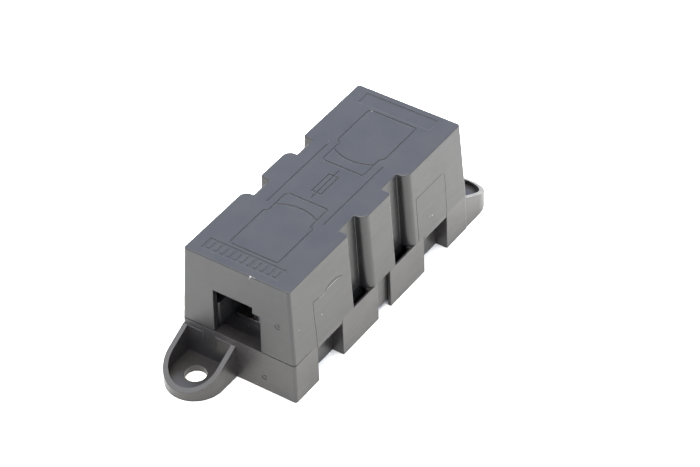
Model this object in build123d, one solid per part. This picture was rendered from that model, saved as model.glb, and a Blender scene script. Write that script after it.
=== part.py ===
from build123d import *
import math
import os

# Bolt-down holder for a flat high-current fuse, with a tapered lift-off cover.
# Millimetres, +X along the holder, +Z up, origin on the mounting surface under the middle.
# The near end is the -X end. Turning the holder 180 degrees about Z swaps its two ends.

# Overall shape: footprint at the underside, at the parting plane and at the top of the cover
UNDERSIDE = (88.0, 38.4)
PARTING = (87.4, 38.1)
TOP = (85.3, 35.1)
PARTING_Z = 13.4
TOP_Z = 39.1
CORNER_R = 0.9
TOP_EDGE_R = 0.35

# Wall thicknesses
END_WALL = 1.8
SIDE_WALL = 1.6
FLOOR = 2.0
COVER_WALL = 1.8
CHANNEL_WALL = 1.5

# Screw lugs on two opposite corners
LUG_X, LUG_Y = 51.0, 10.0
LUG_R = 9.0
LUG_HOLE_R = 3.25
LUG_FLOOR = 2.1
LUG_RIM = 1.5
LUG_RIM_BODY_Z = 11.3
LUG_RIM_TIP_Z = 2.8

# Recesses in the long sides of the base
NOTCH_X = (20.7, 32.9)
NOTCH_DEPTH = 4.0
NOTCH_ROOF_Z = 12.0
SLOT_HALF = 3.2

# Vertical channels in the long sides of the cover
CHANNEL_X = 10.5
CHANNEL_TOP_HALF, CHANNEL_FOOT_HALF = 3.8, 3.9
CHANNEL_TOP_Y, CHANNEL_FOOT_Y = 14.3, 15.3
CHANNEL_SKIRT = 3.0
CHANNEL_SLOT_HALF = 3.6
CHANNEL_LIP = 0.55
CHANNEL_FAR_R, CHANNEL_NEAR_R, CHANNEL_INNER_R = 2.6, 0.9, 0.2

# Cable windows in the ends of the cover
WINDOW_Y = (-7.8, 8.1)
WINDOW_TOP_Z = 28.3
WINDOW_BLOCK = (2.6, 2.1)

# Scored knock-out panels
PANEL_X = (18.2, 33.0)
PANEL_TOP_Z = 28.7
PANEL_CORNER_R = 1.6
SCORE_WIDTH, SCORE_DEPTH, FAINT_SCORE_DEPTH = 0.2, 0.15, 0.05
TONGUE_GAP = 0.2

# Relief on top: the engraved outline of the fuse, a fuse symbol and a shallow panel at each end
ENGRAVE_WIDTH, ENGRAVE_DEPTH = 0.6, 0.18
OUTLINE_CORNER_R = 1.0
OUTLINE_LINK_X = 8.6
OUTLINE_ARC_X = (14.3, 12.3)
SYMBOL_BOX, SYMBOL_WIRE, SYMBOL_LINE = (9.0, 3.6), 14.0, 0.5
INSET_DEPTH = 0.16
INSET_Y = 0.8
NEAR_INSET_X, NEAR_INSET = -37.6, (4.6, 25.6)
FAR_INSET_X, FAR_INSET = 38.1, (5.0, 24.6)
GRIP_BARS, GRIP_PITCH, GRIP_BAR = 11, 2.2, (3.0, 0.9)

# Small gap between cover and base at the near end, and ejector-pin rings on that end at (y, z)
REVEAL = 0.28
RING_MARK = (0.9, 0.55, 0.12)
COVER_MARK, BASE_MARK = (-13.5, 25.5), (-8.6, 4.7)

# Cover latches and hinge hooks
LATCH_HALF_TOP, LATCH_HALF_FOOT = 4.6, 3.4
LATCH_Y = (16.4, 17.9)
LATCH_FOOT_Z = 2.1
LATCH_COVERING = 0.95
LATCH_ROOT = 4.0
HOOK_Y = (11.4, 16.0)
HOOK_LIP_R, HOOK_CLEAR_R = 2.4, 2.55
HOOK_ARM_X = 39.9
HOOK_FOOT_X = 42.6
HOOK_FOOT_Z = 9.4
HOOK_SIDE_GAP = 0.3

# Fuse bed inside the base
STUD_X = 25.4
PLATFORM_Z = 12.0
PLATFORM_INNER_X = 16.9
GUIDE_Y = (8.3, 10.5)
GUIDE_Z = 21.2
GUIDE_NOSE_X = 40.6
CRADLE_Z = 7.2
SHELF_DEPTH = 4.3
SHELF_HALF = 8.3
SHELF_CORNER_R, SHELF_EDGE_R = 1.3, 0.45
BOSS_R = 9.5
CORE_ROOF_Z = 10.0
CORE_RIB = 1.6

# M8 hardware
THREAD_R = 4.0
THREAD_CLEARANCE = 0.05
HEX_AF = 13.0
STUD_HEAD_Z = (5.0, 9.5)
STUD_TOP_Z = 30.5
FLAT_WASHER = (8.0, 4.2, 1.6)
SPRING_WASHER = (7.4, 4.15, 2.0)
SPRING_SPLIT, SPRING_SLANT, SPRING_TURN = 0.9, 25, 40
NUT_HEIGHT = 6.8
NUT_BEVEL, NUT_BORE_BEVEL, NUT_TURN = 30, 0.5, 12

# Fuse
BLADE_HALF_LENGTH, BLADE_HALF_WIDTH, BLADE_THICK = 34.3, 8.1, 1.6
BLADE_HOLE_R = 4.25
NECK_X, NECK_HALF_WIDTH = (17.0, 18.2), 6.95
LINK_HALF_LENGTH, LINK_HALF_WIDTH, LINK_WAIST = 9.0, 3.0, 1.3
FUSE_BODY = (29.6, 19.0, 10.7)
FUSE_CAVITY = (22.0, 13.0, 3.4)
FUSE_PANEL, FUSE_PANEL_R = (20.0, 10.6, 0.4), 1.2
FUSE_DIMPLE, FUSE_DIMPLE_AT = (1.1, 0.3), (12.3, 7.1)
FUSE_SEAM = (0.3, 0.4)

PIVOT_X = PARTING[0] / 2
BLADE_Z = PLATFORM_Z
END_LEAN = (PARTING[0] - TOP[0]) / 2 / (TOP_Z - PARTING_Z)
SIDE_LEAN = (PARTING[1] - TOP[1]) / 2 / (TOP_Z - PARTING_Z)


def half_turn(shape):
    """The same feature at the other end of the holder."""
    return Rot(0, 0, 180) * shape


def block(x, y, z):
    """Box from three (low, high) pairs."""
    size = [high - low for low, high in (x, y, z)]
    middle = [(high + low) / 2 for low, high in (x, y, z)]
    return Pos(*middle) * Box(*size)


def bar_along_x(profile, x0, x1):
    """Solid with a YZ profile, from x0 to x1."""
    return Pos(x0, 0, 0) * extrude(Plane.YZ * Polygon(*profile, align=None), x1 - x0, dir=(1, 0, 0))


def bar_along_y(profile, y0, y1):
    """Solid with an XZ profile, from y0 to y1."""
    return Pos(0, y0, 0) * extrude(Plane.XZ * Polygon(*profile, align=None), y1 - y0, dir=(0, 1, 0))


def tapered_block(lower, upper, z0, z1):
    """Block whose four sides lean evenly from one rectangle to another."""
    (l0, w0), (l1, w1) = [(a / 2, b / 2) for a, b in (lower, upper)]
    reach_x, reach_y = max(l0, l1) + 1, max(w0, w1) + 1
    ends = bar_along_y([(-l0, z0), (l0, z0), (l1, z1), (-l1, z1)], -reach_y, reach_y)
    sides = bar_along_x([(-w0, z0), (w0, z0), (w1, z1), (-w1, z1)], -reach_x, reach_x)
    return ends & sides


def inset(footprint, wall):
    return tuple(side - 2 * wall for side in footprint)


def upright_edges(shape):
    return shape.edges().filter_by(lambda edge: abs((edge % 0.5).Z) > 0.95)


def edge_near(shape, x, y):
    """The upright edge whose middle is nearest to a point in plan."""
    return upright_edges(shape).sort_by(lambda edge: math.hypot((edge @ 0.5).X - x, (edge @ 0.5).Y - y))[0]


# ---- base ----------------------------------------------------------------------------------
def lug():
    """Screw lug at the near end: a floor with a hole and a rim that slopes down to the tip."""

    def outline(radius, reach):
        tongue = block((-LUG_X, reach), (LUG_Y - radius, LUG_Y + radius), (0, LUG_RIM_BODY_Z))
        return tongue + Pos(-LUG_X, LUG_Y, LUG_RIM_BODY_Z / 2) * Cylinder(radius, LUG_RIM_BODY_Z)

    body_x = -PARTING[0] / 2
    tip_x = -LUG_X - LUG_R
    slope = [
        (body_x, LUG_RIM_BODY_Z),
        (tip_x, LUG_RIM_TIP_Z),
        (tip_x - 1, LUG_RIM_TIP_Z),
        (tip_x - 1, TOP_Z),
        (body_x, TOP_Z),
    ]
    shell = outline(LUG_R, body_x + END_WALL / 2)
    shell -= Pos(0, 0, LUG_FLOOR) * outline(LUG_R - LUG_RIM, body_x - 0.15)
    shell -= bar_along_y(slope, 0, UNDERSIDE[1])
    return shell - Pos(-LUG_X, LUG_Y, 0) * Cylinder(LUG_HOLE_R, 3 * LUG_FLOOR)


def shelf():
    """Cable shelf flush with the parting plane at the near end, with rounded inner corners."""
    low = -PARTING[0] / 2 + END_WALL / 2
    high = -PARTING[0] / 2 + SHELF_DEPTH
    tongue = block((low, high), (-SHELF_HALF, SHELF_HALF), (PLATFORM_Z - 1, PARTING_Z))
    corners = upright_edges(tongue).filter_by(lambda edge: (edge @ 0.5).X > high - 0.1)
    tongue = fillet(corners, SHELF_CORNER_R)
    rim = tongue.faces().sort_by(Axis.Z)[-1].edges().filter_by(lambda edge: (edge @ 0.5).X > low + 0.1)
    return fillet(rim, SHELF_EDGE_R)


def guide_wall(side):
    """Upright insulating wall beside the near stud, with a round nose towards the window."""
    thickness = GUIDE_Y[1] - GUIDE_Y[0]
    middle = side * (GUIDE_Y[0] + GUIDE_Y[1]) / 2
    nose_r = thickness / 2
    nose_x = -GUIDE_NOSE_X + nose_r
    height = GUIDE_Z - FLOOR
    nose = Pos(nose_x, middle, FLOOR + height / 2) * Cylinder(nose_r, height)
    wall = block((nose_x, -PLATFORM_INNER_X), (middle - nose_r, middle + nose_r), (FLOOR, GUIDE_Z))
    return wall + nose


def core():
    """Hollow under the near stud platform, open at the underside, around the stud's boss."""
    x_range = (-PARTING[0] / 2 + 2 * END_WALL, -PLATFORM_INNER_X - COVER_WALL)
    hollow = block(x_range, (-GUIDE_Y[0], GUIDE_Y[0]), (0, CORE_ROOF_Z))
    hollow -= Pos(-STUD_X, 0, 0) * Cylinder(BOSS_R, 3 * CORE_ROOF_Z)
    rib = (-STUD_X - CORE_RIB / 2, -STUD_X + CORE_RIB / 2)
    return hollow - block(rib, (-GUIDE_Y[1], GUIDE_Y[1]), (0, CORE_ROOF_Z))


def side_recesses():
    """Openings in the right-hand (-Y) side of the base."""
    side = -UNDERSIDE[1] / 2
    inner = -PARTING[1] / 2 + SIDE_WALL
    cuts = block((-SLOT_HALF, SLOT_HALF), (side - 1, inner + 0.1), (0, PARTING_Z))
    pocket = (-LATCH_HALF_TOP - 0.6, LATCH_HALF_TOP + 0.6)
    cuts += block(pocket, (-PARTING[1] / 2 + LATCH_COVERING, -LATCH_Y[0] + 0.4), (0, PARTING_Z))
    for sign in (-1, 1):
        x_range = sorted(sign * x for x in NOTCH_X)
        cuts += block(x_range, (side - 1, side + NOTCH_DEPTH), (0, NOTCH_ROOF_Z))
        cuts += block(x_range, (side - 1, inner + 0.2), (NOTCH_ROOF_Z - 1, PARTING_Z))
        slot = (sign * CHANNEL_X - CHANNEL_SLOT_HALF, sign * CHANNEL_X + CHANNEL_SLOT_HALF)
        cuts += block(slot, (-PARTING[1] / 2 + CHANNEL_LIP, inner + 0.1), (FLOOR, PARTING_Z))
    return cuts


def notch_linings():
    """Material around the two notches of the right-hand side."""
    linings = Part()
    for sign in (-1, 1):
        low, high = sorted(sign * x for x in NOTCH_X)
        y_range = (-PARTING[1] / 2 + SIDE_WALL / 2, -UNDERSIDE[1] / 2 + NOTCH_DEPTH + SIDE_WALL)
        linings += block((low - SIDE_WALL, high + SIDE_WALL), y_range, (FLOOR / 2, PARTING_Z))
    return linings


def hinge_quarter(radius, width):
    """Quarter cylinder about the pivot line of the cover, below and inside it."""
    disc = Pos(PIVOT_X, 0, PARTING_Z) * Rot(90, 0, 0) * Cylinder(radius, width)
    return disc & block((PIVOT_X - radius, PIVOT_X), (-width, width), (PARTING_Z - radius, PARTING_Z))


def hook_sockets():
    """At the far end, the lip that each hinge hook turns about, and the room behind the skin."""
    room, lips = Part(), Part()
    for sign in (-1, 1):
        y_range = sorted((sign * (HOOK_Y[0] - HOOK_SIDE_GAP), sign * (HOOK_Y[1] + HOOK_SIDE_GAP)))
        room += block((PIVOT_X - 3, HOOK_FOOT_X + 0.1), y_range, (HOOK_FOOT_Z - 1, PARTING_Z))
        width = y_range[1] - y_range[0]
        lips += Pos(0, sum(y_range) / 2, 0) * hinge_quarter(HOOK_LIP_R, width)
    return room, lips


def ring_mark(plane):
    """Shallow ring left by a mould ejector pin."""
    outer, inner, depth = RING_MARK
    return extrude(plane * (Circle(outer) - Circle(inner)), depth, both=True)


def build_base(stud):
    shell = tapered_block(UNDERSIDE, PARTING, 0, PARTING_Z)
    shell = fillet(upright_edges(shell), CORNER_R)
    inside = inset(PARTING, END_WALL)
    tray = block(
        (-inside[0] / 2, inside[0] / 2),
        (-PARTING[1] / 2 + SIDE_WALL, PARTING[1] / 2 - SIDE_WALL),
        (FLOOR, PARTING_Z),
    )
    base = shell - tray
    platform = block(
        (-inside[0] / 2 - 0.5, -PLATFORM_INNER_X), (-GUIDE_Y[1], GUIDE_Y[1]), (FLOOR / 2, PLATFORM_Z)
    )
    cradle = Part()
    for sign in (-1, 1):
        y_range = sorted(sign * y for y in GUIDE_Y)
        cradle += block((-PLATFORM_INNER_X, PLATFORM_INNER_X), y_range, (FLOOR / 2, CRADLE_Z))
    near = platform + shelf() + guide_wall(-1) + guide_wall(1) + lug() + notch_linings()
    base += cradle
    for feature in (near, half_turn(near)):
        base += feature
    for cut in (core(), side_recesses()):
        base -= cut
        base -= half_turn(cut)
    room, lips = hook_sockets()
    base = base - room + lips
    mark_y, mark_z = BASE_MARK
    mark_x = -UNDERSIDE[0] / 2 + (UNDERSIDE[0] - PARTING[0]) / 2 * mark_z / PARTING_Z
    base -= ring_mark(Plane((mark_x, mark_y, mark_z), x_dir=(0, -1, 0), z_dir=(-1, 0, 0)))
    for shape in (stud, half_turn(stud)):
        base -= shape
    return base


# ---- cover ---------------------------------------------------------------------------------
def channel(x, grow):
    """Cutter for one right-hand channel, or its lining when grown by the wall."""
    foot, top = CHANNEL_FOOT_HALF + grow, CHANNEL_TOP_HALF + grow
    rise = TOP_Z - PARTING_Z
    back = (CHANNEL_FOOT_Y - CHANNEL_TOP_Y) / rise
    widen = (top - foot) / rise
    front = [
        (x - foot + widen, PARTING_Z - 1),
        (x + foot - widen, PARTING_Z - 1),
        (x + top + widen, TOP_Z + 1),
        (x - top - widen, TOP_Z + 1),
    ]
    plan = [
        (-CHANNEL_FOOT_Y - back + grow, PARTING_Z - 1),
        (-CHANNEL_TOP_Y + back + grow, TOP_Z + 1),
        (-UNDERSIDE[1], TOP_Z + 1),
        (-UNDERSIDE[1], PARTING_Z - 1),
    ]
    reach = top + 2
    return bar_along_y(front, -UNDERSIDE[1], 0) & bar_along_x(plan, x - reach, x + reach)


def round_channels(shell):
    """Rounds the upright edges of the right-hand channels: wide at the far side, small elsewhere."""
    middle_z = (PARTING_Z + TOP_Z) / 2
    side = -PARTING[1] / 2 + SIDE_LEAN * (middle_z - PARTING_Z)
    back = -(CHANNEL_TOP_Y + CHANNEL_FOOT_Y) / 2
    half = (CHANNEL_TOP_HALF + CHANNEL_FOOT_HALF) / 2
    for x in (-CHANNEL_X, CHANNEL_X):
        for edge_x, edge_y, radius in (
            (x + half, side, CHANNEL_FAR_R),
            (x - half, side, CHANNEL_NEAR_R),
            (x + half, back, CHANNEL_INNER_R),
            (x - half, back, CHANNEL_INNER_R),
        ):
            shell = fillet(edge_near(shell, edge_x, edge_y), radius)
    return shell


def window():
    """Near cable window, less the small block in its upper right corner."""
    low, high = WINDOW_Y
    step_y, step_z = low + WINDOW_BLOCK[0], WINDOW_TOP_Z - WINDOW_BLOCK[1]
    outline = [
        (low, PARTING_Z - 1),
        (high, PARTING_Z - 1),
        (high, WINDOW_TOP_Z),
        (step_y, WINDOW_TOP_Z),
        (step_y, step_z),
        (low, step_z),
    ]
    return bar_along_x(outline, -PARTING[0] / 2 - 1, -PARTING[0] / 2 + 2.5 * COVER_WALL)


def skirts():
    """Linings of the right-hand channels carried down into the base."""
    strips = Part()
    for x in (-CHANNEL_X, CHANNEL_X):
        half = CHANNEL_FOOT_HALF + CHANNEL_WALL
        y_range = (-CHANNEL_FOOT_Y, -CHANNEL_FOOT_Y + CHANNEL_WALL)
        strips += block((x - half, x + half), y_range, (PARTING_Z - CHANNEL_SKIRT, PARTING_Z + 1))
    return strips


def panel_tongues():
    """Lower edges of the right-hand knock-out panels, which fill the tops of the base's notches."""
    tongues = Part()
    outside, inside = -PARTING[1] / 2, -PARTING[1] / 2 + SIDE_WALL - TONGUE_GAP
    profile = [
        (outside, NOTCH_ROOF_Z + 0.05),
        (inside, NOTCH_ROOF_Z + 0.05),
        (inside, PARTING_Z + 1),
        (outside + SIDE_LEAN, PARTING_Z + 1),
        (outside, PARTING_Z),
    ]
    for sign in (-1, 1):
        low, high = sorted(sign * x for x in NOTCH_X)
        tongues += bar_along_x(profile, low + TONGUE_GAP, high - TONGUE_GAP)
    return tongues


def latch():
    """Springy tongue behind the right-hand slot of the base, narrower towards its foot."""
    root_z = PARTING_Z + LATCH_ROOT
    top, foot = LATCH_HALF_TOP, LATCH_HALF_FOOT
    face = [
        (-foot, LATCH_FOOT_Z),
        (foot, LATCH_FOOT_Z),
        (top, PARTING_Z),
        (top, root_z),
        (-top, root_z),
        (-top, PARTING_Z),
    ]
    tongue = bar_along_y(face, -LATCH_Y[1], -LATCH_Y[0])
    root = block((-top, top), (-PARTING[1] / 2 + 1, -LATCH_Y[0]), (PARTING_Z + 0.6, root_z))
    return tongue + root


def hooks():
    """Two hinge hooks at the far end, each curved about the pivot line."""
    claws = Part()
    for sign in (-1, 1):
        y_range = sorted(sign * y for y in HOOK_Y)
        arm = block((HOOK_ARM_X, PIVOT_X - COVER_WALL / 2), y_range, (PARTING_Z + 0.3, PARTING_Z + 3.6))
        stem = block((HOOK_ARM_X, HOOK_FOOT_X), y_range, (HOOK_FOOT_Z, PARTING_Z + 0.3))
        stem -= block((PIVOT_X - HOOK_CLEAR_R, PIVOT_X), y_range, (PARTING_Z - 0.01, PARTING_Z + 1))
        eye = Pos(0, sum(y_range) / 2, 0) * hinge_quarter(HOOK_CLEAR_R, 2 * (HOOK_Y[1] - HOOK_Y[0]))
        claws += arm + (stem - eye)
    return claws


def side_plane(x, z):
    """Plane on the right-hand face of the cover, with its second axis running up the face."""
    y = -PARTING[1] / 2 + SIDE_LEAN * (z - PARTING_Z)
    return Plane((x, y, z), x_dir=(1, 0, 0), z_dir=(0, -1, SIDE_LEAN))


def panel_scores():
    """Scored lines around the right-hand knock-out panels. The near one wanders a little."""
    low, high = PANEL_X
    top = PANEL_TOP_Z - PARTING_Z
    corner = PANEL_CORNER_R
    far = Line((low, -0.2), (low, top))
    faint = Line((low, top), (high - corner, top)) + Line((high, top - corner), (high, -0.2))
    faint += RadiusArc((high - corner, top), (high, top - corner), corner)
    near = Polyline((-high, -0.2), (-high + 0.25, 4), (-high + 0.05, 9), (-high + 0.1, top - 0.4))
    near += Spline(
        (-high + 0.1, top - 0.4),
        (-high + 1.2, top - 0.1),
        (-high + 4.6, top - 0.7),
        (-high + 6.8, top + 0.25),
        (-low - 2.0, top + 0.1),
        (-low - 0.6, top - 0.7),
    )
    grooves = Part()
    for path, depth in ((near, SCORE_DEPTH), (far, SCORE_DEPTH), (faint, FAINT_SCORE_DEPTH)):
        for edge in path.edges():
            face = side_plane(0, PARTING_Z) * trace(edge, SCORE_WIDTH)
            grooves += extrude(face, depth, both=True)
    return grooves


def fuse_outline():
    """Engraved lines on top: the blades, the link window and the body of the fuse below."""
    half_length, half_width = BLADE_HALF_LENGTH, BLADE_HALF_WIDTH
    body_end, body_side = FUSE_BODY[0] / 2, FUSE_BODY[1] / 2
    corner, link_x = OUTLINE_CORNER_R, OUTLINE_LINK_X
    lines = Curve()
    for sign in (-1, 1):
        lines += Line((-body_end, sign * body_side), (body_end, sign * body_side))
        lines += Polyline(
            (link_x + corner, sign * NECK_HALF_WIDTH),
            (NECK_X[0], sign * NECK_HALF_WIDTH),
            (NECK_X[1], sign * half_width),
            (half_length - corner, sign * half_width),
        )
        lines += CenterArc((half_length - corner, sign * (half_width - corner)), corner, 0, sign * 90)
        lines += CenterArc((link_x + corner, sign * (NECK_HALF_WIDTH - corner)), corner, 180, -sign * 90)
    lines += Line((half_length, corner - half_width), (half_length, half_width - corner))
    lines += Line((link_x, corner - NECK_HALF_WIDTH), (link_x, NECK_HALF_WIDTH - corner))
    arc_x, arc_middle_x = OUTLINE_ARC_X
    lines += ThreePointArc((arc_x, -NECK_HALF_WIDTH), (arc_middle_x, 0), (arc_x, NECK_HALF_WIDTH))
    strokes = Sketch()
    for edge in lines.edges():
        strokes += trace(edge, ENGRAVE_WIDTH)
    return strokes + Rot(0, 0, 180) * strokes


def fuse_symbol():
    """The usual circuit symbol of a fuse: a box with a line through it."""
    length, width = SYMBOL_BOX
    box = Rectangle(length, width) - Rectangle(length - 2 * SYMBOL_LINE, width - 2 * SYMBOL_LINE)
    return box + Rectangle(SYMBOL_WIRE, SYMBOL_LINE)


def end_insets():
    """Shallow panels near both ends of the top. The near one keeps a row of grip bars."""
    near = Pos(NEAR_INSET_X, INSET_Y) * Rectangle(*NEAR_INSET)
    for count in range(GRIP_BARS):
        bar_y = INSET_Y + GRIP_PITCH * (count - (GRIP_BARS - 1) / 2)
        near -= Pos(NEAR_INSET_X, bar_y) * Rectangle(*GRIP_BAR)
    return near + Pos(FAR_INSET_X, INSET_Y) * Rectangle(*FAR_INSET)


def build_cover():
    shell = tapered_block(PARTING, TOP, PARTING_Z, TOP_Z)
    shell = fillet(upright_edges(shell), CORNER_R)
    for x in (-CHANNEL_X, CHANNEL_X):
        shell -= channel(x, 0)
    shell = half_turn(round_channels(shell))
    for x in (-CHANNEL_X, CHANNEL_X):
        shell -= channel(x, 0)
    shell = round_channels(shell)
    shell = fillet(shell.faces().sort_by(Axis.Z)[-1].edges(), TOP_EDGE_R)

    ceiling = TOP_Z - COVER_WALL
    upper = (TOP[0] + 2 * END_LEAN * COVER_WALL, TOP[1] + 2 * SIDE_LEAN * COVER_WALL)
    cavity = tapered_block(inset(PARTING, COVER_WALL), inset(upper, COVER_WALL), PARTING_Z, ceiling)
    for x in (-CHANNEL_X, CHANNEL_X):
        lining = channel(x, CHANNEL_WALL)
        cavity -= lining
        cavity -= half_turn(lining)
    cover = shell - cavity

    right = skirts() + panel_tongues() + latch()
    cover = cover + right + half_turn(right) + hooks()
    for cut in (window(), panel_scores()):
        cover -= cut
        cover -= half_turn(cut)
    engraving = extrude(Pos(0, 0, TOP_Z) * (fuse_outline() + fuse_symbol()), ENGRAVE_DEPTH, both=True)
    cover -= engraving
    cover -= extrude(Pos(0, 0, TOP_Z) * end_insets(), INSET_DEPTH, both=True)
    outside_x = -PARTING[0] / 2 - 1
    reveal = [(outside_x, PARTING_Z), (-PANEL_X[1], PARTING_Z), (outside_x, PARTING_Z + REVEAL)]
    cover -= bar_along_y(reveal, -UNDERSIDE[1], UNDERSIDE[1])
    mark_y, mark_z = COVER_MARK
    mark_x = -PARTING[0] / 2 + END_LEAN * (mark_z - PARTING_Z)
    return cover - ring_mark(Plane((mark_x, mark_y, mark_z), x_dir=(0, -1, 0), z_dir=(-1, 0, END_LEAN)))


# ---- M8 hardware ---------------------------------------------------------------------------
def hexagon(height):
    across_corners = HEX_AF / math.cos(math.radians(30)) / 2
    return extrude(RegularPolygon(across_corners, 6), height)


def build_stud():
    low, high = STUD_HEAD_Z
    head = Pos(-STUD_X, 0, low) * hexagon(high - low)
    shank = Pos(-STUD_X, 0, low) * extrude(Circle(THREAD_R), STUD_TOP_Z - low)
    shank = chamfer(shank.faces().sort_by(Axis.Z)[-1].edges(), 0.8)
    return head + shank


def build_flat_washer():
    outer, inner, thick = FLAT_WASHER
    ring = extrude(Circle(outer) - Circle(inner), thick)
    return Pos(-STUD_X, 0, BLADE_Z + BLADE_THICK) * ring


def build_spring_washer():
    outer, inner, thick = SPRING_WASHER
    ring = extrude(Circle(outer) - Circle(inner), thick)
    ring -= Rot(0, SPRING_SLANT, 0) * Pos(0, outer, 0) * Box(SPRING_SPLIT, 2 * outer, 8 * thick)
    return Pos(-STUD_X, 0, BLADE_Z + BLADE_THICK + FLAT_WASHER[2]) * Rot(0, 0, SPRING_TURN) * ring


def build_nut():
    """Hexagon nut with its corners turned off at both ends and a countersunk bore."""
    blank = hexagon(NUT_HEIGHT)
    corner_r = HEX_AF / math.cos(math.radians(30)) / 2
    flat_r = HEX_AF / 2 - 0.3
    drop = (corner_r + 1 - flat_r) * math.tan(math.radians(NUT_BEVEL))
    turned = Polygon(
        (0, 0),
        (flat_r, 0),
        (corner_r + 1, drop),
        (corner_r + 1, NUT_HEIGHT - drop),
        (flat_r, NUT_HEIGHT),
        (0, NUT_HEIGHT),
        align=None,
    )
    blank &= revolve(Plane.XZ * turned, Axis.Z)
    bore = extrude(Circle(THREAD_R + THREAD_CLEARANCE), NUT_HEIGHT)
    nut = blank - bore
    rims = nut.edges().filter_by(GeomType.CIRCLE).filter_by(lambda edge: edge.radius < THREAD_R + 0.2)
    nut = chamfer(rims, NUT_BORE_BEVEL)
    seat = BLADE_Z + BLADE_THICK + FLAT_WASHER[2] + SPRING_WASHER[2]
    return Pos(-STUD_X, 0, seat) * Rot(0, 0, NUT_TURN) * nut


# ---- fuse ----------------------------------------------------------------------------------
def build_fuse_element():
    """Two bolt blades and the link between them, cut from one strip."""
    half_length, half_width = BLADE_HALF_LENGTH, BLADE_HALF_WIDTH
    blade = Polygon(
        (-half_length, -half_width),
        (-NECK_X[1], -half_width),
        (-NECK_X[0], -NECK_HALF_WIDTH),
        (-LINK_HALF_LENGTH, -NECK_HALF_WIDTH),
        (-LINK_HALF_LENGTH, NECK_HALF_WIDTH),
        (-NECK_X[0], NECK_HALF_WIDTH),
        (-NECK_X[1], half_width),
        (-half_length, half_width),
        align=None,
    )
    tips = blade.vertices().filter_by(lambda corner: corner.X < -half_length + 0.1)
    blade = fillet(tips, 1.0) - Pos(-STUD_X, 0) * Circle(BLADE_HOLE_R)
    link = Rectangle(2 * LINK_HALF_LENGTH + 1, 2 * LINK_HALF_WIDTH)
    for sign in (-1, 1):
        link -= Pos(0, sign * (LINK_WAIST + 2.5)) * Circle(2.5)
    strip = blade + Rot(0, 0, 180) * blade + link
    return extrude(Pos(0, 0, BLADE_Z) * strip, BLADE_THICK)


def build_fuse_body(element):
    """Lower and upper halves of the moulded body, welded along a shallow seam over the link."""
    length, width, height = FUSE_BODY
    middle_z = BLADE_Z + BLADE_THICK / 2
    body = Pos(0, 0, middle_z) * Box(length, width, height)
    body = fillet(upright_edges(body), 1.5)
    body = fillet(body.faces().filter_by(Axis.Z).edges(), 0.5)
    body -= Pos(0, 0, middle_z) * Box(*FUSE_CAVITY)
    panel_length, panel_width, panel_depth = FUSE_PANEL
    dimple_r, dimple_depth = FUSE_DIMPLE
    panel = extrude(RectangleRounded(panel_length, panel_width, FUSE_PANEL_R), panel_depth, both=True)
    for z in (middle_z - height / 2, middle_z + height / 2):
        body -= Pos(0, 0, z) * panel
        for x in (-FUSE_DIMPLE_AT[0], FUSE_DIMPLE_AT[0]):
            for y in (-FUSE_DIMPLE_AT[1], FUSE_DIMPLE_AT[1]):
                body -= Pos(x, y, z) * Cylinder(dimple_r, 2 * dimple_depth)
    seam_depth, seam_height = FUSE_SEAM
    around = Box(length + 1, width + 1, seam_height)
    around -= Box(length - 2 * seam_depth, width - 2 * seam_depth, seam_height)
    body -= Pos(0, 0, middle_z) * around
    body -= element
    reach = (-length, length)
    lower = body & block(reach, reach, (0, middle_z))
    upper = body & block(reach, reach, (middle_z, TOP_Z))
    return lower, upper


# ---- write the parts -----------------------------------------------------------------------
near_stud = build_stud()
fuse_element = build_fuse_element()
fuse_body_lower, fuse_body_upper = build_fuse_body(fuse_element)
parts = {
    "base": build_base(near_stud),
    "cover": build_cover(),
    "fuse_element": fuse_element,
    "fuse_body_lower": fuse_body_lower,
    "fuse_body_upper": fuse_body_upper,
}
paired = {
    "stud": near_stud,
    "flat_washer": build_flat_washer(),
    "spring_washer": build_spring_washer(),
    "nut": build_nut(),
}
for name, shape in paired.items():
    parts["near_" + name] = shape
    parts["far_" + name] = half_turn(shape)

os.makedirs("parts", exist_ok=True)
for name, shape in parts.items():
    export_step(shape, os.path.join("parts", name + ".step"))
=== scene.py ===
import math
import random

import bmesh
import bpy
from mathutils import Matrix, Vector


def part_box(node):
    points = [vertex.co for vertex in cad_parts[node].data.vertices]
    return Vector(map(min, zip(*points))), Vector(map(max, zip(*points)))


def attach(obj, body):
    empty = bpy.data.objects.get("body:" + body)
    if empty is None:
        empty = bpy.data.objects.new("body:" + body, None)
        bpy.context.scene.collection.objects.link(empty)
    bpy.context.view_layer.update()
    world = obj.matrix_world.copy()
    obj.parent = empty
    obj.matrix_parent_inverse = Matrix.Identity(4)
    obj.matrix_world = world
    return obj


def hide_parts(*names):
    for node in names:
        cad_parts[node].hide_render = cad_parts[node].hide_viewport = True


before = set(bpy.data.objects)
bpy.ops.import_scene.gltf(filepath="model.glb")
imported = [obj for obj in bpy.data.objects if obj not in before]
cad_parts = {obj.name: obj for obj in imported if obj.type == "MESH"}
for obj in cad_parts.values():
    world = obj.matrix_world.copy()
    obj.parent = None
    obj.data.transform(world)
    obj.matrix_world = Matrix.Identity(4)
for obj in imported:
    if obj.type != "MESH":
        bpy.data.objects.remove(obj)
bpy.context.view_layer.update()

MM = 0.001

# Camera: where it looks from, in degrees, and how far away, in metres
VIEW_AZIMUTH = -54.534
VIEW_ELEVATION = 40.994
VIEW_ROLL = -1.982
VIEW_DISTANCE = 0.76682
CLIP_START = 0.01
LENS_MM = 138.865
SENSOR_MM = 36
AIM = Vector((4.90, -4.407, 19.35)) * MM

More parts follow.
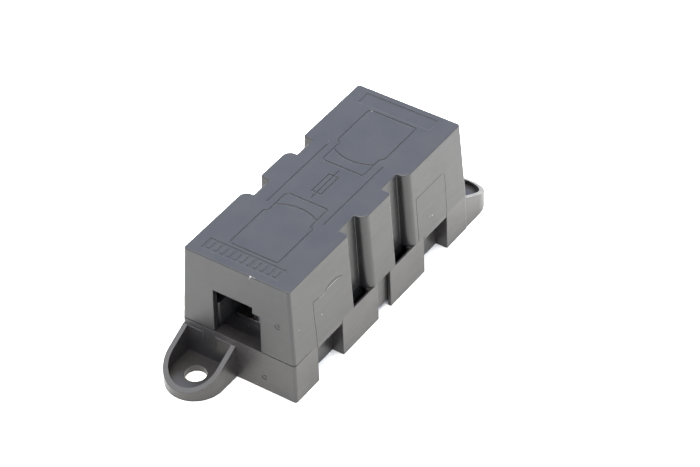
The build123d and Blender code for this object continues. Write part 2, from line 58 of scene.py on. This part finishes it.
# Studio: radiance of the surroundings on the dim and bright sides of the horizon, half way up
# and overhead, and the sines of the elevations between which one passes into the next
HORIZON_DIM = (0.5, 0.5, 0.48)
HORIZON_BRIGHT = (4.1, 4.1, 3.9)
BRIGHT_SIDE = (0.8, -0.6, 0.0)
MIDDLE_LIGHT = (1.72, 1.95, 2.63)
OVERHEAD_LIGHT = (8.1, 7.85, 7.1)
LOW_RISE = (0.0, 0.45)
HIGH_RISE = (0.74, 0.97)
FLOOR_ALBEDO = (0.945, 0.925, 0.855)
FLOOR_ROUGHNESS = 0.8
FLOOR_HALF_SIZE = 3.0

# Shader nodes: the range in which most of a noise lies, samples of the costly nodes, and the
# places of a Mix node's sockets, which share their names
NOISE_MIDDLE = (0.3, 0.7)
SHADER_SAMPLES = 4
MIX_COLOURS, MIX_COLOUR_OUT = (6, 7), 2
MIX_VECTORS, MIX_VECTOR_OUT = (4, 5), 1

# Inside corners: how far they reach, in millimetres, and the openness over which wear (on the
# nylon also the painted edge highlight) and the rounding of the normal fade in
CORNER_REACH = 1.2
WEAR_AND_HIGHLIGHT_OPENNESS = (0.78, 0.95)
ROUNDING_OPENNESS = (0.7, 0.9)

# Darkest and lightest nylon of the two mouldings. The base is a little browner than the cover.
BASE_NYLON = ((0.0145, 0.0128, 0.0122), (0.0195, 0.0170, 0.0158))
COVER_NYLON = ((0.0075, 0.0074, 0.0073), (0.0112, 0.0108, 0.0104))
PLASTIC_IOR = 1.5

# M8 thread, in millimetres: coarse pitch, crest radius and depth of the visible groove. Land
# and flank are shares of the pitch, and the rows are rings of points for each turn.
THREAD_PITCH = 1.25
THREAD_CREST_R = 3.97
THREAD_DEPTH = 0.6
THREAD_LAND, THREAD_FLANK = 0.08, 0.34
THREAD_CLEARANCE = 0.06
THREAD_ROWS = 10
TURN_STEPS = 72
STUD_TIP_BEVEL = 0.9
NUT_BORE_BEVEL, NUT_BORE_SLOPE = 0.75, 1.2

# Hexagons: width across flats and height of the stud's head in millimetres, how far the round
# end face stays inside the flats, steps in the chamfer, and the turn about the axis in degrees
HEX_AF = 13.0
HEX_SECTOR = math.radians(60)
HEX_CORNER_R = HEX_AF / 2 / math.cos(math.radians(30))
HEX_BEVEL_SLOPE = math.tan(math.radians(30))
HEAD_HEIGHT = 4.5
HEAD_MARGIN, HEAD_BEVEL_STEPS, HEAD_TURN = 0.1, 4, 30.0
NUT_MARGIN, NUT_BEVEL_STEPS, NUT_TURN = 0.3, 6, 42.0

# Angles, in degrees, above which an edge stays sharp on the hardware and on the small marks
METAL_SHARP = 28
MARK_SHARP = 60

# Side face of the cover, in millimetres: half width at the parting line and how it leans in
FACE_FOOT_Y, FACE_FOOT_Z = -19.05, 13.4
FACE_LEAN = 1.5 / 25.7
COVER_TOP_Z = 39.1

# Flakes on the cover, in millimetres: two places on the face, then length and width
SIDE_FLAKES = (
    (-29.5, 21.9, 0.55, 0.4),
    (25.6, 17.8, 0.8, 0.35),
    (24.4, 18.3, 0.3, 0.25),
    (-40.2, 24.4, 0.3, 0.3),
)
TOP_FLAKES = ((34.2, 7.2, 0.35, 0.3), (8.2, -0.4, 0.25, 0.2))
FLAKE_SEED = 11
FLAKE_HEIGHT = 0.14
FLAKE_SUNK = 0.04
FLAKE_STEPS = 9
RIM_REACH = (0.75, 1.15)
CREST_REACH = (0.35, 0.6)
CREST_RISE = (0.6, 1.0)

# Gate scar on the near top edge, in millimetres
GATE_SEED = 5
GATE_X, GATE_Y, GATE_SUNK = -42.55, -4.9, 0.1

# Flash along the knock-out, in millimetres: its path in x and z, how far it wanders, and its
# width and lift, which grow by a share between the uneven limits. The crest is a share of the
# width.
FLASH_SEED = 23
FLASH_PATH = ((-30.6, 28.25), (-28.4, 27.85), (-26.2, 28.7), (-20.2, 28.6), (-18.9, 27.9))
FLASH_WAVES = 8.0
FLASH_STEPS = 26
FLASH_WANDER = 0.04
FLASH_WIDTH, FLASH_WIDER, UNEVEN_WIDTH = 0.03, 0.16, (0.4, 1.0)
FLASH_LIFT, FLASH_HIGHER, UNEVEN_LIFT = 0.02, 0.1, (0.5, 1.0)
FLASH_SUNK = 0.05
FLASH_CREST = 0.4


# ---- material nodes ------------------------------------------------------------------------
def feed(links, socket, value):
    """Set a socket to a number or a colour, or link another node's output to it."""
    if isinstance(value, bpy.types.NodeSocket):
        links.new(value, socket)
    elif isinstance(value, tuple):
        socket.default_value = (*value, 1)
    else:
        socket.default_value = value


class Finish:
    """A Principled material being put together from object-space noise."""

    def __init__(self, name):
        self.made = bpy.data.materials.new(name)
        self.made.use_nodes = True
        self.nodes = self.made.node_tree.nodes
        self.links = self.made.node_tree.links
        self.shader = self.nodes["Principled BSDF"]
        self.place = self.nodes.new("ShaderNodeTexCoord").outputs["Object"]

    def uniform(self, **values):
        for name, value in values.items():
            self.shader.inputs[name].default_value = value

    def stretched(self, stretch, turn=(0, 0, 0)):
        mapping = self.nodes.new("ShaderNodeMapping")
        mapping.inputs["Scale"].default_value = stretch
        mapping.inputs["Rotation"].default_value = [math.radians(angle) for angle in turn]
        self.links.new(self.place, mapping.inputs["Vector"])
        return mapping.outputs["Vector"]

    def noise(self, size_mm, detail, rough, place=None):
        """Cloudy variation whose features are about size_mm across."""
        node = self.nodes.new("ShaderNodeTexNoise")
        node.inputs["Scale"].default_value = 1 / (size_mm * MM)
        node.inputs["Detail"].default_value = detail
        node.inputs["Roughness"].default_value = rough
        self.links.new(place or self.place, node.inputs["Vector"])
        return node.outputs["Fac"]

    def cells(self, size_mm, output):
        node = self.nodes.new("ShaderNodeTexVoronoi")
        node.inputs["Scale"].default_value = 1 / (size_mm * MM)
        self.links.new(self.place, node.inputs["Vector"])
        return node.outputs[output]

    def ranged(self, value, low, high, to_low=0.0, to_high=1.0):
        """Take low..high to to_low..to_high, and hold the value beyond them."""
        node = self.nodes.new("ShaderNodeMapRange")
        self.links.new(value, node.inputs["Value"])
        limits = {"From Min": low, "From Max": high, "To Min": to_low, "To Max": to_high}
        for name, number in limits.items():
            node.inputs[name].default_value = number
        return node.outputs["Result"]

    def spread(self, noise, to_low=0.0, to_high=1.0):
        """Take the middle of a noise's range to to_low..to_high."""
        return self.ranged(noise, *NOISE_MIDDLE, to_low, to_high)

    def maths(self, operation, first, second):
        node = self.nodes.new("ShaderNodeMath")
        node.operation = operation
        feed(self.links, node.inputs[0], first)
        feed(self.links, node.inputs[1], second)
        return node.outputs["Value"]

    def plus(self, first, second):
        return self.maths("ADD", first, second)

    def times(self, first, second):
        return self.maths("MULTIPLY", first, second)

    def mixed(self, factor, first, second):
        node = self.nodes.new("ShaderNodeMix")
        node.data_type = "RGBA"
        self.links.new(factor, node.inputs["Factor"])
        for index, colour in zip(MIX_COLOURS, (first, second)):
            feed(self.links, node.inputs[index], colour)
        return node.outputs[MIX_COLOUR_OUT]

    def rounded_normal(self, radius_mm):
        node = self.nodes.new("ShaderNodeBevel")
        node.samples = SHADER_SAMPLES
        node.inputs["Radius"].default_value = radius_mm * MM
        return node.outputs["Normal"]

    def plain_normal(self):
        return self.nodes.new("ShaderNodeNewGeometry").outputs["Normal"]

    def openness(self, reach_mm):
        """1 on open faces, falling towards 0 in grooves and corners narrower than reach_mm."""
        shelter = self.nodes.new("ShaderNodeAmbientOcclusion")
        shelter.samples = SHADER_SAMPLES
        shelter.inputs["Distance"].default_value = reach_mm * MM
        return shelter.outputs["AO"]

    def edges(self, rounded, low, high):
        """1 along outer edges, 0 on open faces and in corners, where the rounded normal turns."""
        dot = self.nodes.new("ShaderNodeVectorMath")
        dot.operation = "DOT_PRODUCT"
        self.links.new(rounded, dot.inputs[0])
        self.links.new(self.plain_normal(), dot.inputs[1])
        turned_away = self.ranged(dot.outputs["Value"], 1 - low, 1 - high)
        return self.times(turned_away, self.ranged(self.openness(CORNER_REACH), *WEAR_AND_HIGHLIGHT_OPENNESS))

    def sharp_inside(self, rounded):
        """The rounded normal on outer edges, and the plain one in inside corners."""
        node = self.nodes.new("ShaderNodeMix")
        node.data_type = "VECTOR"
        in_open = self.ranged(self.openness(CORNER_REACH), *ROUNDING_OPENNESS)
        self.links.new(in_open, node.inputs["Factor"])
        for index, normal in zip(MIX_VECTORS, (self.plain_normal(), rounded)):
            self.links.new(normal, node.inputs[index])
        return node.outputs[MIX_VECTOR_OUT]

    def bump(self, height, depth_mm, strength, normal=None):
        node = self.nodes.new("ShaderNodeBump")
        node.inputs["Distance"].default_value = depth_mm * MM
        node.inputs["Strength"].default_value = strength
        self.links.new(height, node.inputs["Height"])
        if normal:
            self.links.new(normal, node.inputs["Normal"])
        return node.outputs["Normal"]

    def finish(self, colour, roughness, normal):
        self.links.new(colour, self.shader.inputs["Base Color"])
        self.links.new(roughness, self.shader.inputs["Roughness"])
        self.links.new(normal, self.shader.inputs["Normal"])
        return self.made


def charcoal_nylon(name, dark, light, engraved):
    """Glass-filled nylon: spark-eroded grain, flow blotches, paler edges, dust. The paler edges
    are partly rubbed wear and partly a painted highlight.

    An engraved moulding has its inside corners rounded too, which softens the fine lines.
    """
    # The second colour lightens the outer edges: partly rubbed wear, partly a painted highlight.
    grain_tone, pale_edge, dust = (0.016, 0.0157, 0.0155), (0.055, 0.054, 0.052), (0.16, 0.155, 0.15)
    look = Finish(name)
    look.uniform(IOR=PLASTIC_IOR)
    rounded = look.rounded_normal(0.28)
    grain = look.noise(0.42, 3, 0.6)
    pores = look.noise(0.16, 1, 0.5)
    blotches = look.noise(9.0, 3, 0.55)
    flow = look.noise(3.2, 2, 0.5, look.stretched((0.3, 1, 1.6), (0, 20, 14)))
    edge = look.edges(rounded, 0.015, 0.22)
    wear_and_highlight = look.times(edge, look.ranged(look.noise(1.4, 3, 0.65), 0.35, 0.72))
    speck = look.ranged(look.cells(3.4, "Distance"), 0.055, 0.035)
    rare = look.times(speck, look.ranged(look.noise(6.5, 1, 0.5), 0.6, 0.64))
    tone = look.mixed(look.spread(blotches), dark, light)
    tone = look.mixed(look.ranged(grain, 0.35, 0.75, 0, 0.45), tone, grain_tone)
    # Paler outer edges: partly rubbed wear, partly a painted highlight along the edges.
    tone = look.mixed(look.times(wear_and_highlight, 0.5), tone, pale_edge)
    tone = look.mixed(look.times(rare, 0.6), tone, dust)
    uneven = look.plus(look.spread(flow, -0.025, 0.03), look.spread(grain, -0.03, 0.03))
    roughness = look.plus(look.spread(blotches, 0.32, 0.38), uneven)
    if not engraved:
        rounded = look.sharp_inside(rounded)
    normal = look.bump(blotches, 0.10, 0.5, rounded)
    normal = look.bump(flow, 0.025, 0.5, normal)
    normal = look.bump(grain, 0.018, 0.8, normal)
    normal = look.bump(pores, 0.006, 0.7, normal)
    return look.finish(tone, roughness, normal)


def zinc_plate():
    """Bright zinc over steel: spangle, a warm passivate tint, fine tool marks round the axis, and
    painted shade in the thread grooves.
    """
    warm, bright, bare = (0.33, 0.315, 0.28), (0.42, 0.425, 0.43), (0.66, 0.66, 0.65)
    dull, groove_shade = (0.16, 0.145, 0.125), (0.05, 0.046, 0.04)
    look = Finish("zinc_plated_steel")
    look.uniform(Metallic=1.0)
    rounded = look.rounded_normal(0.12)
    cloud = look.noise(2.4, 3, 0.6)
    spangle = look.cells(0.55, "Color")
    marks = look.noise(0.5, 4, 0.7, look.stretched((0.25, 0.25, 5)))
    edge = look.edges(rounded, 0.01, 0.2)
    grime = look.ranged(look.noise(0.9, 4, 0.7), 0.62, 0.74)
    tone = look.mixed(look.spread(cloud), warm, bright)
    tone = look.mixed(look.times(edge, 0.6), tone, bare)
    tone = look.mixed(look.times(grime, 0.45), tone, dull)
    # Painted shade: darker in the thread grooves and other narrow hollows, where the openness
    # falls.
    tone = look.mixed(look.ranged(look.openness(0.7), 0.85, 0.45), tone, groove_shade)
    roughness = look.plus(look.spread(cloud, 0.2, 0.3), look.ranged(spangle, 0, 1, -0.03, 0.03))
    normal = look.bump(marks, 0.012, 0.7, rounded)
    normal = look.bump(cloud, 0.03, 0.4, normal)
    return look.finish(tone, roughness, normal)


def tinned_strip():
    """Dull tin over copper alloy: rolling marks along the strip, with copper on the cut edges."""
    dull, bright = (0.38, 0.35, 0.3), (0.5, 0.475, 0.43)
    streak, copper = (0.3, 0.27, 0.225), (0.6, 0.33, 0.2)
    look = Finish("tinned_copper")
    look.uniform(Metallic=1.0)
    rounded = look.rounded_normal(0.12)
    rolling = look.noise(0.35, 4, 0.7, look.stretched((0.05, 1, 1)))
    cloud = look.noise(4.0, 4, 0.6)
    edge = look.edges(rounded, 0.02, 0.2)
    tone = look.mixed(look.spread(cloud), dull, bright)
    tone = look.mixed(look.ranged(rolling, 0.45, 0.8, 0, 0.5), tone, streak)
    tone = look.mixed(look.times(edge, 0.55), tone, copper)
    roughness = look.plus(look.spread(rolling, -0.03, 0.05), look.spread(cloud, 0.15, 0.24))
    normal = look.bump(rolling, 0.01, 0.6, rounded)
    return look.finish(tone, roughness, normal)


def fuse_moulding():
    """Grey glass-filled moulding: visible fibres in the skin and a coarse spark finish."""
    dark, light = (0.072, 0.075, 0.08), (0.1, 0.103, 0.108)
    glass, pale_edge = (0.2, 0.2, 0.2), (0.24, 0.24, 0.24)
    look = Finish("fuse_moulding")
    look.uniform(IOR=PLASTIC_IOR)
    rounded = look.rounded_normal(0.25)
    fibres = look.noise(0.5, 3, 0.7, look.stretched((0.25, 1.5, 1.5), (0, 0, 25)))
    grain = look.noise(0.3, 3, 0.6)
    cloud = look.noise(6.0, 3, 0.5)
    edge = look.edges(rounded, 0.02, 0.22)
    tone = look.mixed(look.spread(cloud), dark, light)
    tone = look.mixed(look.ranged(fibres, 0.58, 0.75, 0, 0.6), tone, glass)
    tone = look.mixed(look.times(edge, 0.5), tone, pale_edge)
    roughness = look.plus(look.spread(cloud, 0.48, 0.56), look.spread(grain, -0.05, 0.05))
    normal = look.bump(grain, 0.025, 0.8, rounded)
    normal = look.bump(fibres, 0.01, 0.5, normal)
    return look.finish(tone, roughness, normal)


def pale_nylon():
    """Nylon where it has been torn or nicked: stretched white along the break. On the knock-out
    flash the same pale colour is a painted highlight.
    """
    dark, white = (0.05, 0.048, 0.046), (0.4, 0.385, 0.37)
    look = Finish("pale_nylon")
    look.uniform(IOR=PLASTIC_IOR)
    strands = look.noise(0.18, 3, 0.7)
    tone = look.mixed(look.ranged(strands, 0.3, 0.62), dark, white)
    return look.finish(tone, look.spread(strands, 0.4, 0.6), look.bump(strands, 0.05, 0.8))


# ---- hardware ------------------------------------------------------------------------------
def new_piece(name, bm, sharp_above, material):
    """A shaded object from bm, its edges sharp where the faces turn by more than sharp_above."""
    bmesh.ops.recalc_face_normals(bm, faces=bm.faces)
    for face in bm.faces:
        face.smooth = True
    for edge in bm.edges:
        if len(edge.link_faces) == 2 and edge.calc_face_angle() > math.radians(sharp_above):
            edge.smooth = False
    mesh = bpy.data.meshes.new(name)
    bm.to_mesh(mesh)
    bm.free()
    mesh.materials.append(material)
    piece = bpy.data.objects.new(name, mesh)
    bpy.context.scene.collection.objects.link(piece)
    return piece


def groove_depth(z, angle):
    """Depth of the groove below the crest, on a right-hand helix; a trapezium in section."""
    phase = (z / THREAD_PITCH - angle / math.tau) % 1.0
    from_crest = 0.5 - abs(phase - 0.5)
    return THREAD_DEPTH * min(1.0, max(0.0, (from_crest - THREAD_LAND) / THREAD_FLANK))


def hexagon_radius(angle, turn):
    """Distance from the axis to the side of a hexagon."""
    local = (angle - turn) % HEX_SECTOR - HEX_SECTOR / 2
    return HEX_AF / 2 / math.cos(local)


def turned(function):
    """A list of radii, one for each step round the turn."""
    return [function(math.tau * step / TURN_STEPS) for step in range(TURN_STEPS)]


def chamfered_hexagon(foot, margin, steps, turn):
    """Rings from the round lower face of a hexagon up to its full width."""
    face_r = HEX_AF / 2 - margin
    growth = HEX_CORNER_R - face_r
    rings = []
    for step in range(steps + 1):
        limit = face_r + growth * step / steps
        radii = turned(lambda angle: min(limit, hexagon_radius(angle, turn)))
        rings.append((foot + growth * HEX_BEVEL_SLOPE * step / steps, radii))
    return rings


def lathe(centre, rings, closed):
    """Skin a stack of rings, each a height and a list of radii round the turn."""
    bm = bmesh.new()
    loops = []
    for z, radii in rings:
        loop = []
        for step, radius in enumerate(radii):
            angle = math.tau * step / TURN_STEPS
            spot = centre + Vector((radius * math.cos(angle), radius * math.sin(angle), z))
            loop.append(bm.verts.new(spot * MM))
        loops.append(loop)
    pairs = list(zip(loops, loops[1:]))
    if closed:
        pairs.append((loops[-1], loops[0]))
    for lower, upper in pairs:
        for step in range(TURN_STEPS):
            after = (step + 1) % TURN_STEPS
            bm.faces.new((lower[step], lower[after], upper[after], upper[step]))
    if not closed:
        bm.faces.new(loops[0])
        bm.faces.new(loops[-1])
    return bm


def axis_of(box):
    return Vector(((box[0][0] + box[1][0]) / 2, (box[0][1] + box[1][1]) / 2, 0)) / MM


def threaded_stud(node, name, material):
    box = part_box(node)
    foot, tip = box[0][2] / MM, box[1][2] / MM
    shoulder = foot + HEAD_HEIGHT
    rings = chamfered_hexagon(foot, HEAD_MARGIN, HEAD_BEVEL_STEPS, math.radians(HEAD_TURN))
    rings.append((shoulder, rings[-1][1]))
    rings.append((shoulder, turned(lambda angle: THREAD_CREST_R)))
    rows = round((tip - shoulder) / THREAD_PITCH * THREAD_ROWS)
    for row in range(1, rows + 1):
        z = shoulder + (tip - shoulder) * row / rows
        limit = THREAD_CREST_R - max(0.0, z - (tip - STUD_TIP_BEVEL))
        start = min(1.0, (z - shoulder) / THREAD_PITCH)
        radii = turned(lambda angle: min(limit, THREAD_CREST_R - start * groove_depth(z, angle)))
        rings.append((z, radii))
    piece = new_piece(name, lathe(axis_of(box), rings, closed=False), METAL_SHARP, material)
    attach(piece, "base")
    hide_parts(node)


def threaded_nut(node, name, material):
    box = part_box(node)
    foot, top = box[0][2] / MM, box[1][2] / MM
    rings = chamfered_hexagon(foot, NUT_MARGIN, NUT_BEVEL_STEPS, math.radians(NUT_TURN))
    rings += [(top - (z - foot), radii) for z, radii in reversed(rings)]
    bore_r = THREAD_CREST_R + THREAD_CLEARANCE
    rows = round((top - foot) / THREAD_PITCH * THREAD_ROWS)
    for row in range(rows + 1):
        z = top - (top - foot) * row / rows
        mouth = bore_r + NUT_BORE_BEVEL - NUT_BORE_SLOPE * min(z - foot, top - z)
        radii = turned(lambda angle: max(mouth, bore_r - groove_depth(z, angle)))
        rings.append((z, radii))
    piece = new_piece(name, lathe(axis_of(box), rings, closed=True), METAL_SHARP, material)
    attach(piece, node)
    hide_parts(node)


# ---- small marks on the cover --------------------------------------------------------------
def on_near_side(x, z, proud=0.0):
    """A point on the -Y face of the cover, in millimetres."""
    return Vector((x, FACE_FOOT_Y + FACE_LEAN * (z - FACE_FOOT_Z) - proud, z))


def flake(bm, dice, centre, axes, length, width, height):
    """A small ragged chip: a rim sunk into the surface and a low crest with uneven facets.

    The axes are the directions of its length, its width and its height.
    """
    along, across, out = axes
    rim, crest = [], []
    for step in range(FLAKE_STEPS):
        angle = math.tau * step / FLAKE_STEPS
        reach = dice.uniform(*RIM_REACH)
        spot = centre + along * (length / 2 * reach * math.cos(angle))
        spot += across * (width / 2 * reach * math.sin(angle))
        rim.append(bm.verts.new((spot - out * FLAKE_SUNK) * MM))
        raised = centre + (spot - centre) * dice.uniform(*CREST_REACH)
        raised += out * height * dice.uniform(*CREST_RISE)
        crest.append(bm.verts.new(raised * MM))
    for step in range(FLAKE_STEPS):
        after = (step + 1) % FLAKE_STEPS
        bm.faces.new((rim[step], rim[after], crest[after], crest[step]))
    bm.faces.new(crest)
    bm.faces.new(rim)


def surface_flakes(material):
    """Dust and moulding flakes that catch the light on the side and the top."""
    dice = random.Random(FLAKE_SEED)
    bm = bmesh.new()
    along_x, along_y, along_z = Matrix.Identity(3)
    side_out = Vector((0, -1, FACE_LEAN)).normalized()
    for x, z, length, width in SIDE_FLAKES:
        side_axes = (along_x, along_z, side_out)
        flake(bm, dice, on_near_side(x, z), side_axes, length, width, FLAKE_HEIGHT)
    for x, y, length, width in TOP_FLAKES:
        top_axes = (along_x, along_y, along_z)
        flake(bm, dice, Vector((x, y, COVER_TOP_Z)), top_axes, length, width, FLAKE_HEIGHT)
    piece = new_piece("surface_flakes", bm, MARK_SHARP, material)
    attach(piece, "cover")


def gate_scar(material):
    """The nick on the near top edge where the sprue was broken off: a chip on the edge, a
    narrow one that runs down the end face and a long thin one beside them."""
    dice = random.Random(GATE_SEED)
    bm = bmesh.new()
    centre = Vector((GATE_X, GATE_Y, COVER_TOP_Z - GATE_SUNK))
    out = Vector((-0.6, 0, 0.8))
    along, across = Vector((0, 1, 0)), Vector((0.8, 0, 0.6))
    down_end = (across, along, Vector((-1, 0, 0)))
    flake(bm, dice, centre, (along, across, out), 0.75, 0.6, 0.16)
    flake(bm, dice, centre + Vector((-0.1, 0.3, -0.5)), down_end, 0.8, 0.22, 0.1)
    flake(bm, dice, centre + Vector((0.05, -1.0, 0.03)), (along, across, out), 1.9, 0.12, 0.06)
    piece = new_piece("gate_scar", bm, MARK_SHARP, material)
    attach(piece, "cover")


def along_path(points, share):
    """A point that moves smoothly through the given ones as share goes from 0 to 1."""
    spot = share * (len(points) - 1)
    index = min(int(spot), len(points) - 2)
    blend = (1 - math.cos(math.pi * (spot - index))) / 2
    return [a + (b - a) * blend for a, b in zip(points[index], points[index + 1])]


def knockout_flash(material):
    """A thin ragged sliver of flash along the top score of the near right knock-out, coloured pale
    as a painted highlight.
    """
    dice = random.Random(FLASH_SEED)
    bm = bmesh.new()
    rows = []
    for step in range(FLASH_STEPS + 1):
        share = step / FLASH_STEPS
        x, z = along_path(FLASH_PATH, share)
        fade = math.sin(math.pi * share) * abs(math.sin(FLASH_WAVES * share))
        z += dice.uniform(-FLASH_WANDER, FLASH_WANDER)
        width = FLASH_WIDTH + FLASH_WIDER * fade * dice.uniform(*UNEVEN_WIDTH)
        lift = FLASH_LIFT + FLASH_HIGHER * fade * dice.uniform(*UNEVEN_LIFT)
        corners = (
            on_near_side(x, z, -FLASH_SUNK),
            on_near_side(x, z - width * FLASH_CREST, lift),
            on_near_side(x, z - width, -FLASH_SUNK),
        )
        rows.append([bm.verts.new(spot * MM) for spot in corners])
    for left, right in zip(rows, rows[1:]):
        for a, b in ((0, 1), (1, 2), (2, 0)):
            bm.faces.new((left[a], left[b], right[b], right[a]))
    bm.faces.new(rows[0])
    bm.faces.new(rows[-1])
    piece = new_piece("knockout_flash", bm, MARK_SHARP, material)
    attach(piece, "cover")


# ---- stage ---------------------------------------------------------------------------------
def add_camera():
    azimuth, elevation, roll = (math.radians(a) for a in (VIEW_AZIMUTH, VIEW_ELEVATION, VIEW_ROLL))
    back = Vector(
        (
            math.sin(azimuth) * math.cos(elevation),
            -math.cos(azimuth) * math.cos(elevation),
            math.sin(elevation),
        )
    )
    right = Vector((0, 0, 1)).cross(back).normalized()
    up = back.cross(right)
    turned_right = math.cos(roll) * right + math.sin(roll) * up
    turned_up = -math.sin(roll) * right + math.cos(roll) * up
    camera = bpy.data.objects.new("camera", bpy.data.cameras.new("camera"))
    camera.data.lens = LENS_MM
    camera.data.sensor_width = SENSOR_MM
    camera.data.clip_start = CLIP_START
    rotation = Matrix((turned_right, turned_up, back)).transposed().to_4x4()
    camera.matrix_world = Matrix.Translation(AIM + back * VIEW_DISTANCE) @ rotation
    bpy.context.scene.collection.objects.link(camera)
    bpy.context.scene.camera = camera


def add_floor():
    mesh = bpy.data.meshes.new("floor")
    size = FLOOR_HALF_SIZE
    corners = [(-size, -size, 0), (size, -size, 0), (size, size, 0), (-size, size, 0)]
    mesh.from_pydata(corners, [], [(0, 1, 2, 3)])
    floor = bpy.data.objects.new("floor", mesh)
    paper = bpy.data.materials.new("floor_white")
    paper.use_nodes = True
    shader = paper.node_tree.nodes["Principled BSDF"]
    shader.inputs["Base Color"].default_value = (*FLOOR_ALBEDO, 1)
    shader.inputs["Roughness"].default_value = FLOOR_ROUGHNESS
    mesh.materials.append(paper)
    bpy.context.scene.collection.objects.link(floor)


def add_surroundings():
    """A soft white studio, brighter overhead and along the horizon on one side."""
    world = bpy.data.worlds.new("studio")
    world.use_nodes = True
    nodes, links = world.node_tree.nodes, world.node_tree.links
    direction = nodes.new("ShaderNodeTexCoord").outputs["Generated"]

    def blend(share, low, high, first, second):
        rise = nodes.new("ShaderNodeMapRange")
        rise.interpolation_type = "SMOOTHSTEP"
        rise.inputs["From Min"].default_value = low
        rise.inputs["From Max"].default_value = high
        links.new(share, rise.inputs["Value"])
        mix = nodes.new("ShaderNodeMix")
        mix.data_type = "RGBA"
        links.new(rise.outputs["Result"], mix.inputs["Factor"])
        for index, colour in zip(MIX_COLOURS, (first, second)):
            feed(links, mix.inputs[index], colour)
        return mix.outputs[MIX_COLOUR_OUT]

    towards = nodes.new("ShaderNodeVectorMath")
    towards.operation = "DOT_PRODUCT"
    links.new(direction, towards.inputs[0])
    towards.inputs[1].default_value = BRIGHT_SIDE
    split = nodes.new("ShaderNodeSeparateXYZ")
    links.new(direction, split.inputs["Vector"])
    horizon = blend(towards.outputs["Value"], -1, 1, HORIZON_DIM, HORIZON_BRIGHT)
    lower = blend(split.outputs["Z"], *LOW_RISE, horizon, MIDDLE_LIGHT)
    whole = blend(split.outputs["Z"], *HIGH_RISE, lower, OVERHEAD_LIGHT)
    links.new(whole, nodes["Background"].inputs["Color"])
    nodes["Background"].inputs["Strength"].default_value = 1.0
    bpy.context.scene.world = world


# ---- assembly ------------------------------------------------------------------------------
finishes = {
    "base_nylon": charcoal_nylon("charcoal_nylon_base", *BASE_NYLON, engraved=False),
    "cover_nylon": charcoal_nylon("charcoal_nylon_cover", *COVER_NYLON, engraved=True),
    "zinc_plated_steel": zinc_plate(),
    "tinned_copper": tinned_strip(),
    "fuse_moulding": fuse_moulding(),
}
NODE_FINISH = {
    "base": "base_nylon",
    "cover": "cover_nylon",
    "fuse_element": "tinned_copper",
    "fuse_body_lower": "fuse_moulding",
    "fuse_body_upper": "fuse_moulding",
}
for name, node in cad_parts.items():
    node.data.materials.clear()
    node.data.materials.append(finishes[NODE_FINISH.get(name, "zinc_plated_steel")])

steel = finishes["zinc_plated_steel"]
for end in ("near", "far"):
    threaded_stud(f"{end}_stud", f"{end}_threaded_stud", steel)
    threaded_nut(f"{end}_nut", f"{end}_threaded_nut", steel)
white = pale_nylon()
surface_flakes(white)
gate_scar(white)
# The flash takes the pale colour as a painted highlight along its edge.
knockout_flash(white)

add_camera()
add_floor()
add_surroundings()
bpy.context.scene.view_settings.view_transform = "Standard"
